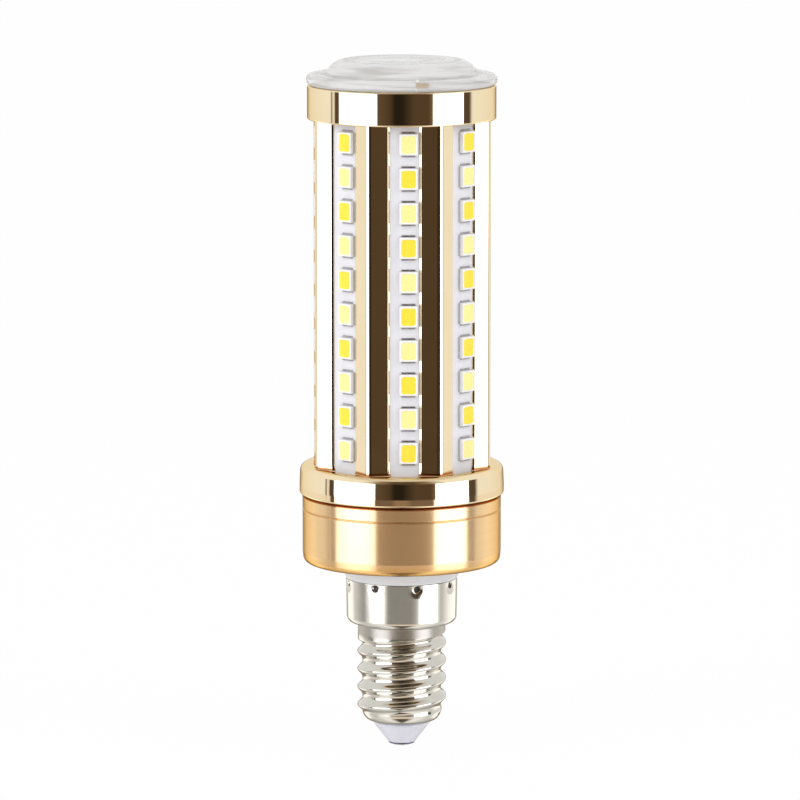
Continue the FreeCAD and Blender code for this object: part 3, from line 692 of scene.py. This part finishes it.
def make_cage():
    work = bmesh.new()
    inside, spigot, foot, belly, brow = 13.1, 14.1, 15.785, 15.79, 15.66
    mouth, well, bore = 13.6, 12.94, 9.6
    bottom, web = DRIVER + 1.25, FLOOR - 1.1
    flange = [
        (inside, bottom), (spigot, bottom), (spigot, SEAM), (foot, SEAM, 0.3), (belly, SEAM + 1.5, 12.0),
        (brow, DECK, 2.0), (mouth, DECK, 0.05), (well, DECK - 0.6, 0.1), (well, FLOOR), (bore, FLOOR),
        (bore, web), (inside, web),
    ]
    add_turning(work, rounded(flange, 10), 256)
    hoop_inside, hoop_outside, hoop_foot = 12.25, 13.7, BOARD_TOP + 0.05
    hoop = [
        (hoop_inside, hoop_foot), (hoop_outside, hoop_foot), (hoop_outside, HOOP_TOP),
        (hoop_inside, HOOP_TOP),
    ]
    add_turning(work, rounded(hoop), 128)
    for index in range(STRIPS):
        add_bar(work, FRONT + HALF + STEP * index)
    return link(work, "gold_cage", "polished_gold")


# Screw cap


def smooth(low, high, number):
    t = min(1.0, max(0.0, (number - low) / (high - low)))
    return t * t * (3 - 2 * t)


def run_out_rise(angle):
    """How much higher the thread ends than in front: it climbs with the helix, and drops back behind."""
    drop = 0.85
    share = (angle - FRONT + math.pi) % (2 * math.pi) / (2 * math.pi)
    climb = share - 0.5
    behind = smooth(drop, 1.0, share) - smooth(drop, 1.0, 1 - share)
    return THREAD_PITCH * (climb - 0.5 * behind)


def shell_radius(height, angle):
    """Radius of the cap's outside below the shoulder."""
    sharpness, run = 1.5, 0.55
    turn = (height - THREAD_START) / THREAD_PITCH - angle / (2 * math.pi)
    wave = (0.5 + 0.5 * math.cos(2 * math.pi * turn)) ** sharpness
    lead_in = smooth(NOSE + 1.2, NOSE + 2.3, height)
    end = THREAD_END - 0.3 + run_out_rise(angle)
    past = smooth(end - run, end, height)
    body = THREAD_MINOR + (NECK - THREAD_MINOR) * past
    radius = body + (THREAD_MAJOR - THREAD_MINOR) * wave * lead_in * (1 - past)
    if height < NOSE + NOSE_ROUND:
        drop = (NOSE + NOSE_ROUND - height) / NOSE_ROUND
        radius -= NOSE_ROUND * (1 - math.sqrt(max(0.0, 1 - drop * drop)))
    return radius


def stake_dent(height, angle, radius):
    """Depth of the punch marks round the collar: a pit in a shallow dish."""
    pit, pit_depth, dish, dish_depth, reach = 0.42, 0.75, 0.8, 0.10, 1.4
    depth = 0.0
    for stake in STAKES:
        across = (angle - stake + math.pi) % (2 * math.pi) - math.pi
        away = math.hypot(across * radius, height - STAKE_HEIGHT)
        if away < reach:
            depth += pit_depth * math.exp(-((away / pit) ** 4))
            depth += dish_depth * math.exp(-((away / dish) ** 2))
    return depth


def collar_outline(bottom):
    """Points of the shoulder and the collar above a height, close together on the collar for its marks."""
    spacing, face = 0.12, COLLAR - 0.32
    corners = [
        (NECK, THREAD_END), (NECK, SHOULDER - 0.1, 0.3), (COLLAR - 0.12, SHOULDER + 0.1, 1.3),
        (COLLAR, RIM, 0.12), (COLLAR_BORE, RIM),
    ]
    points = [p for p in rounded(corners, 8) if p.y > bottom]
    dense = []
    for p, q in zip(points, points[1:]):
        steps = max(1, int((q - p).length / spacing)) if p.x > face and q.x > face else 1
        dense.extend(p.lerp(q, index / steps) for index in range(steps))
    return [*dense, points[-1]]


def make_shell():
    """The rolled cap: nose, knuckle thread, plain neck, shoulder and staked collar."""
    segments, rows = 320, 160
    bore, mouth = 5.65, 4.4
    top = THREAD_END + 1.2
    heights = [NOSE + (top - NOSE) * index / rows for index in range(rows + 1)]
    collar = collar_outline(top + 0.05)
    marked, marked_from = COLLAR - 0.27, SHOULDER + 1.6
    inner = [
        (COLLAR_BORE, SHOULDER + 1.6), (bore, SHOULDER + 0.4), (bore, NOSE + NOSE_ROUND),
        (mouth, NOSE + 0.4), (mouth, NOSE + 0.05),
    ]
    work = bmesh.new()
    profiles = []
    for index in range(segments):
        angle = 2 * math.pi * index / segments
        c, s = math.cos(angle) * MM, math.sin(angle) * MM
        profile = [(shell_radius(height, angle), height) for height in heights]
        for p in collar:
            outside = p.x > marked and p.y > marked_from
            profile.append((p.x - (stake_dent(p.y, angle, p.x) if outside else 0.0), p.y))
        profile.extend(inner)
        profiles.append([work.verts.new((r * c, r * s, z * MM)) for r, z in profile])
    join_profiles(work, profiles)
    return link(work, "thread_cap", "nickel_plate", 40.0)


def make_stake_pits():
    """Dark discs of painted shade at the bottom of each punch mark."""
    sides = 20
    # Each ring of a pit (radius, distance from the axis)
    rings = [(0.42, 8.29), (0.3, 8.24), (0.12, 8.22)]
    work = bmesh.new()
    for stake in STAKES:
        put = turned(stake)
        loops = []
        for size, out in rings:
            loop = []
            for index in range(sides):
                angle = 2 * math.pi * index / sides
                height = size * math.sin(angle) + STAKE_HEIGHT
                loop.append(work.verts.new(put(out, size * math.cos(angle), height)))
            loops.append(loop)
        join_loops(work, loops)
        work.faces.new(loops[-1])
    return link(work, "stake_pit_shades", "nickel_plate", finish=pit_shade_finish)


# Latch


def make_latch():
    """The snap latch in the clear cap's rim, to the right of the front, brown with a painted reflection of
    the gold, and the beads round it.
    """
    put = turned(FRONT + math.radians(VIEW_TURN + 12.4))
    block_w, block_h, block_up, corner = 2.1, 0.8, 1.05, 0.2

    def put_at(across, up):
        return lambda x, y, out: put(out, across + x, CAP + up + y)

    block, beads = bmesh.new(), bmesh.new()
    add_stack(
        block, put_at(0.0, block_up),
        [
            (block_w, block_h, corner, 13.6),
            (block_w, block_h, corner, 14.55),
            (block_w - 0.15, block_h - 0.14, corner, 14.66),
        ],
    )
    # Each bead (across, up, width, height), rounded off at its face
    places = [(-0.95, 0.35, 0.42, 0.5), (0.95, 0.75, 0.4, 0.4), (-0.75, 1.75, 0.5, 0.4)]
    bead_corner, face = 0.15, 0.6
    for across, up, width, height in places:
        add_stack(
            beads, put_at(across, up),
            [
                (width, height, bead_corner, 13.4),
                (width, height, bead_corner, 14.58),
                (face * width, face * height, 0.1, 14.72),
            ],
        )
    link(block, "rim_latch", "clear_plastic", finish=latch_painted_reflection)
    link(beads, "latch_beads", "clear_plastic")


# LED strips

# Each form is a stack of rounded rectangles (width, length, radius, height above the board)
BODY_L = LED_L - 0.3
WELL_W, WELL_L, WELL_RADIUS = 2.0, 2.5, 0.34
PACKAGE = [
    (LED_W, BODY_L, 0.08, 0.0),
    (LED_W, BODY_L, 0.08, LED_H - 0.13),
    (LED_W - 0.05, BODY_L - 0.05, 0.10, LED_H - 0.05),
    (LED_W - 0.16, BODY_L - 0.16, 0.14, LED_H),
    (PHOSPHOR_W + 0.10, PHOSPHOR_L + 0.10, 0.42, LED_H),
    (PHOSPHOR_W + 0.02, PHOSPHOR_L + 0.02, 0.40, LED_H - 0.03),
    (WELL_W, WELL_L, WELL_RADIUS, LED_H - 0.37),
]
GEL = [
    (WELL_W, WELL_L, WELL_RADIUS, LED_H - 0.36),
    (PHOSPHOR_W, PHOSPHOR_L, 0.385, LED_H - 0.05),
    (PHOSPHOR_W - 0.14, PHOSPHOR_L - 0.14, 0.33, LED_H - 0.06),
    (PHOSPHOR_W - 0.6, PHOSPHOR_L - 0.6, 0.25, LED_H - 0.075),
]
# A grey plinth round each package's foot: painted shade where the package meets the board
LED_BASE_SHADE = [
    (LED_W + 0.03, BODY_L + 0.1, 0.06, 0.0),
    (LED_W + 0.03, BODY_L + 0.1, 0.06, 0.32),
    (LED_W - 0.2, BODY_L, 0.06, 0.34),
]
PAD_W, PAD_L = 2.5, 1.24
PAD = [
    (PAD_W, PAD_L, 0.1, 0.0),
    (PAD_W, PAD_L, 0.1, 0.02),
    (PAD_W - 0.08, PAD_L - 0.08, 0.08, 0.035),
]


def strip_frame(number, centre):
    """Puts (across, along, out) of an LED at a height on a strip into the bulb's frame."""
    put = turned(FRONT + STEP * (number - 1))
    return lambda x, y, height: put(BOARD + height, LED_SHIFT + x, centre + y)


def add_terminal(work, put, end):
    """The solder fillet at one end of a package."""
    half_width, edge, top = 1.03, 0.05, 0.14
    near, far = (LED_L / 2 - 0.08) * end, (LED_L / 2 + 0.17) * end
    section = [(near, 0.0), (far, 0.0), (far, edge), (near + 0.06 * end, top), (near, top)]
    loops = []
    for side in (-half_width, half_width):
        loops.append([work.verts.new(put(side, y, height)) for y, height in section])
    close_stack(work, loops)


def make_strip(number):
    """Packages, phosphors, solder and copper pads of one board."""
    cases, base_shades, solder, pads = bmesh.new(), bmesh.new(), bmesh.new(), bmesh.new()
    gels = {"warm": bmesh.new(), "cool": bmesh.new()}
    for index in range(LEDS):
        centre = LED_FIRST + LED_PITCH * index
        put = strip_frame(number, centre)
        warm = (index + number) % 2 == 1
        add_stack(cases, put, PACKAGE)
        add_stack(gels["warm" if warm else "cool"], put, GEL)
        add_stack(base_shades, put, LED_BASE_SHADE)
        for end in (-1, 1):
            add_terminal(solder, put, end)
        if index < LEDS - 1:
            add_stack(pads, strip_frame(number, centre + LED_PITCH / 2), PAD)
    packages = link(cases, f"led_packages_{number}", "led_resin")
    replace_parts(packages, f"led_cases_{number}")
    link(solder, f"led_solder_{number}", "tinned_contact")
    link(pads, f"led_pads_{number}", "white_board")
    link(base_shades, f"led_base_shades_{number}", "led_resin", finish=led_base_shade)
    for tint, work in gels.items():
        gel = link(work, f"{tint}_gel_{number}", f"{tint}_phosphor")
        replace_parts(gel, f"{tint}_phosphor_{number}")


# The bulb

for node in nodes.values():
    slot = node.data.materials[0].name.split(".")[0]
    node.data.materials.clear()
    node.data.materials.append(finishes[slot])

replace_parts(make_contact(), "centre_contact")
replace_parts(make_tip(), "tip_insulator")
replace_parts(make_shell(), "screw_shell")
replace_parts(make_neck(), "neck_insulator")
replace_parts(make_cup(), "base_cup")
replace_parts(make_cage(), "bar_cage")
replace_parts(make_collar(), "top_ring")
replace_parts(make_lens(), "lens_cap")
make_stake_pits()
make_latch()
for strip in range(1, STRIPS + 1):
    make_strip(strip)


# Studio

# What stands round the bulb, at several levels: stops (angle from the camera in degrees, colour)


def grey(level):
    """A slightly warm grey."""
    return level, 0.985 * level, 0.955 * level


# A white room, two bright soft boxes at the sides and, in front, a card that looks dark at the level that
# the bars and the top ring show
BOX = (4.0, 4.05, 4.6)
CARD, CARD_SIDE, CARD_LEFT = (0.093, 0.060, 0.037), (0.13, 0.09, 0.06), (0.08, 0.052, 0.031)
CARD_RIGHT, CARD_END = (0.06, 0.04, 0.025), (0.2, 0.14, 0.09)
GAP = (0.022, 0.017, 0.011)
EDGE, PALE_EDGE = (0.10, 0.07, 0.05), (0.8, 0.75, 0.7)
BACK, PALE_BACK = (0.28, 0.20, 0.14), (0.78, 0.72, 0.64)
MIDDLE_ROOM = [
    (-168, BACK), (-157, PALE_BACK), (-148, WHITE), (-96, WHITE), (-95.2, EDGE), (-94.2, EDGE),
    (-93.5, WHITE), (-89.5, PALE_EDGE), (-88.7, EDGE), (-82, EDGE), (-81, BOX), (-31, BOX),
    (-30, CARD_SIDE), (-14, CARD_LEFT), (-8, GAP), (1, GAP), (9, CARD_RIGHT), (15, CARD), (33, CARD),
    (38, CARD_END), (39, BOX), (80, BOX), (81, EDGE), (91, EDGE), (96, WHITE), (148, WHITE),
    (157, PALE_BACK), (168, BACK),
]
# At the flange's foot the card is a lighter brown
SILL, SILL_LEFT, SILL_MIDDLE = (0.97, 0.88, 0.80), (0.19, 0.13, 0.095), (0.32, 0.22, 0.15)
SILL_ROOM = [
    (-180, SILL), (-89, SILL), (-87, EDGE), (-82, EDGE), (-80, BOX), (-33, BOX), (-30, SILL_LEFT),
    (-12, SILL_LEFT), (-6, SILL_MIDDLE), (4, SILL_MIDDLE), (12, (0.20, 0.14, 0.10)),
    (36, (0.22, 0.15, 0.11)), (41, BOX), (80, BOX), (82, EDGE), (90, EDGE), (97, (0.97, 0.86, 0.78)),
    (180, SILL),
]
# Lower down, where the cap and the cup show it, it is grey, and the boxes have soft ends
SHADE, SOFT_BOX = (0.5, 0.43, 0.36), (3.1, 3.1, 3.4)
LOW_ROOM = [
    (-180, SHADE), (-156, SHADE), (-150, grey(1.6)), (-126, grey(1.6)), (-116, grey(0.95)),
    (-110, grey(0.9)), (-98, grey(0.65)), (-90, grey(0.52)), (-82, grey(0.56)), (-73, grey(1.1)),
    (-62, SOFT_BOX), (-42, SOFT_BOX), (-35, grey(1.0)), (-30, grey(0.5)), (-24, grey(0.37)), (19, grey(0.35)),
    (27, grey(0.5)), (35, grey(0.95)), (41, BOX), (74, BOX), (82, grey(1.3)), (90, grey(0.8)),
    (97, grey(0.9)), (106, grey(1.2)), (120, grey(1.6)), (150, grey(1.6)), (156, SHADE), (180, SHADE),
]
# Near the table the card is lit from below
WARM, CREAM, DIM = (1.15, 0.96, 0.80), (0.9, 0.85, 0.8), (0.36, 0.29, 0.22)
FOOT_ROOM = [
    (-180, DIM), (-150, DIM), (-144, grey(1.5)), (-120, grey(1.5)), (-108, WHITE), (-95, CREAM), (-80, CREAM),
    (-70, grey(1.25)), (-40, grey(1.25)), (-30, WARM), (30, WARM), (40, grey(1.25)), (76, grey(1.25)),
    (86, WHITE), (108, WHITE), (120, grey(1.5)), (144, grey(1.5)), (150, DIM), (180, DIM),
]
DARK_TABLE = (0.15, 0.12, 0.09)
TABLE = [
    (-180, grey(0.35)), (-150, grey(0.5)), (-115, grey(0.9)), (-75, grey(1.0)), (-60, grey(1.3)),
    (-40, grey(1.3)), (-25, grey(0.5)), (-14, DARK_TABLE), (18, DARK_TABLE), (27, grey(0.5)),
    (42, grey(1.3)), (72, grey(1.3)), (85, grey(1.0)), (115, grey(0.9)), (150, grey(0.5)), (180, grey(0.35)),
]
# The rooms above the table, each with the degrees of rise between which it takes over from the one below
ROOMS = [(-42, -32, FOOT_ROOM), (-17, -13, LOW_ROOM), (-10.6, -10.2, SILL_ROOM), (-9.9, -9.3, MIDDLE_ROOM)]
# Far behind the bulb, above the table's edge, stands a white backdrop: how much of it shows
BACKDROP_RISE = (-2, 1)
BACKDROP = [(-180, WHITE), (-150, WHITE), (-142, BLACK), (142, BLACK), (150, WHITE), (180, WHITE)]
# Above the boxes only the card's upper end is left, and then the ceiling
HIGH_RISE = (5, 11)
CARD_TOP, CARD_TOP_SIDE = (0.10, 0.07, 0.045), (0.30, 0.22, 0.15)
HIGH_ROOM = [
    (-180, WHITE), (-50, WHITE), (-28, CARD_TOP_SIDE), (-10, CARD_TOP), (14, CARD_TOP), (33, CARD_TOP_SIDE),
    (55, WHITE), (180, WHITE),
]
CEILING_RISE = (50, 68)
CEILING = (0.76, 0.70, 0.64)
# What lights the surfaces that don't mirror
EVEN_LIGHT = (0.74, 0.74, 0.74)


def add_world():
    """The bulb mirrors the studio and is lit evenly, and the camera sees white behind it."""
    world = bpy.data.worlds.new("studio")
    bpy.context.scene.world = world
    world.use_nodes = True
    tree = world.node_tree
    coordinate = tree.nodes.new("ShaderNodeTexCoord")
    split = tree.nodes.new("ShaderNodeSeparateXYZ")
    tree.links.new(coordinate.outputs["Generated"], split.inputs["Vector"])
    ahead = maths(tree, "MULTIPLY", split.outputs["Y"], -1.0)
    azimuth = maths(tree, "ARCTAN2", split.outputs["X"], ahead)
    share = maths(tree, "DIVIDE", azimuth, 2 * math.pi)
    turn = maths(tree, "FRACT", maths(tree, "ADD", share, 0.5 - VIEW_TURN / 360))
    peak = max(BOX)

    def ring_of(room):
        stops = [(angle / 360 + 0.5, [channel / peak for channel in colour]) for angle, colour in room]
        lifted = tree.nodes.new("ShaderNodeVectorMath")
        lifted.operation = "SCALE"
        set_values(lifted, Scale=peak)
        tree.links.new(colour_ramp(tree, turn, stops), lifted.inputs[0])
        return lifted.outputs["Vector"]

    def fade(low, high):
        low, high = math.sin(math.radians(low)), math.sin(math.radians(high))
        return map_range(tree, split.outputs["Z"], low, high, kind="SMOOTHSTEP")

    studio = ring_of(TABLE)
    for low, high, room in ROOMS:
        studio = mix(tree, fade(low, high), studio, ring_of(room))
    shown = maths(tree, "MULTIPLY", ring_of(BACKDROP), fade(*BACKDROP_RISE))
    studio = mix(tree, shown, studio, WHITE)
    studio = mix(tree, fade(*HIGH_RISE), studio, ring_of(HIGH_ROOM))
    studio = mix(tree, fade(*CEILING_RISE), studio, CEILING)

    path = tree.nodes.new("ShaderNodeLightPath")
    plain = maths(tree, "MAXIMUM", path.outputs["Is Camera Ray"], path.outputs["Is Transmission Ray"])
    lit = mix(tree, path.outputs["Is Glossy Ray"], EVEN_LIGHT, studio)
    tree.links.new(mix(tree, plain, lit, WHITE), tree.nodes["Background"].inputs["Color"])


def direction(turn, rise):
    """The way from the bulb at a turn from the camera and a rise, in degrees."""
    angle, up = math.radians(turn + VIEW_TURN), math.radians(rise)
    return Vector((math.sin(angle) * math.cos(up), -math.cos(angle) * math.cos(up), math.sin(up)))


def aim(thing, away, distance):
    """Put a lamp or the camera at a distance from the middle of the bulb, and turn it to look at that."""
    thing.location = Vector(VIEW_TARGET) + away * distance
    thing.rotation_euler = (-away).to_track_quat("-Z", "Y").to_euler()
    bpy.context.scene.collection.objects.link(thing)


def add_lamp(name, turn, rise, watts):
    """A soft lamp that the bulb's mirrors don't show."""
    distance, width, length = 0.7, 0.35, 0.5
    lamp = bpy.data.lights.new(name, "AREA")
    lamp.shape = "RECTANGLE"
    lamp.size = width
    lamp.size_y = length
    lamp.energy = watts
    thing = bpy.data.objects.new(name, lamp)
    thing.visible_glossy = False
    thing.visible_transmission = False
    aim(thing, direction(turn, rise), distance)


def floor_paper():
    """Pale paper that glows to the camera, so that it is mostly white and keeps a soft shadow."""
    glow_share, pale = 0.97, (0.92, 0.92, 0.92, 1)
    material = bpy.data.materials.new("floor_paper")
    material.use_nodes = True
    tree = material.node_tree
    tree.nodes.clear()
    output = tree.nodes.new("ShaderNodeOutputMaterial")
    paper = tree.nodes.new("ShaderNodeBsdfDiffuse")
    set_values(paper, Color=pale)
    glow = tree.nodes.new("ShaderNodeEmission")
    set_values(glow, Color=(1, 1, 1, 1))
    path = tree.nodes.new("ShaderNodeLightPath")
    both = tree.nodes.new("ShaderNodeMixShader")
    share = maths(tree, "MULTIPLY", path.outputs["Is Camera Ray"], glow_share)
    tree.links.new(share, both.inputs["Fac"])
    tree.links.new(paper.outputs["BSDF"], both.inputs[1])
    tree.links.new(glow.outputs["Emission"], both.inputs[2])
    tree.links.new(both.outputs["Shader"], output.inputs["Surface"])
    return material


def add_floor():
    """A round floor just under the contact."""
    radius, drop = 4.0, 0.0001
    mesh = bpy.data.meshes.new("floor")
    work = bmesh.new()
    bmesh.ops.create_circle(work, cap_ends=True, segments=96, radius=radius)
    work.to_mesh(mesh)
    work.free()
    mesh.materials.append(floor_paper())
    floor = bpy.data.objects.new("floor", mesh)
    floor.location = (0, 0, -drop)
    floor.visible_glossy = False
    bpy.context.scene.collection.objects.link(floor)


def add_camera():
    data = bpy.data.cameras.new("camera")
    data.lens = VIEW_LENS
    data.sensor_width = 36.0
    data.clip_start = 0.01
    camera = bpy.data.objects.new("camera", data)
    aim(camera, direction(0, VIEW_RISE), VIEW_DISTANCE)
    bpy.context.scene.camera = camera


add_world()
add_floor()
add_lamp("left_lamp", -55, 30, 1.6)
add_lamp("right_lamp", 60, 35, 1.2)
add_camera()
bpy.context.scene.view_settings.view_transform = "Standard"
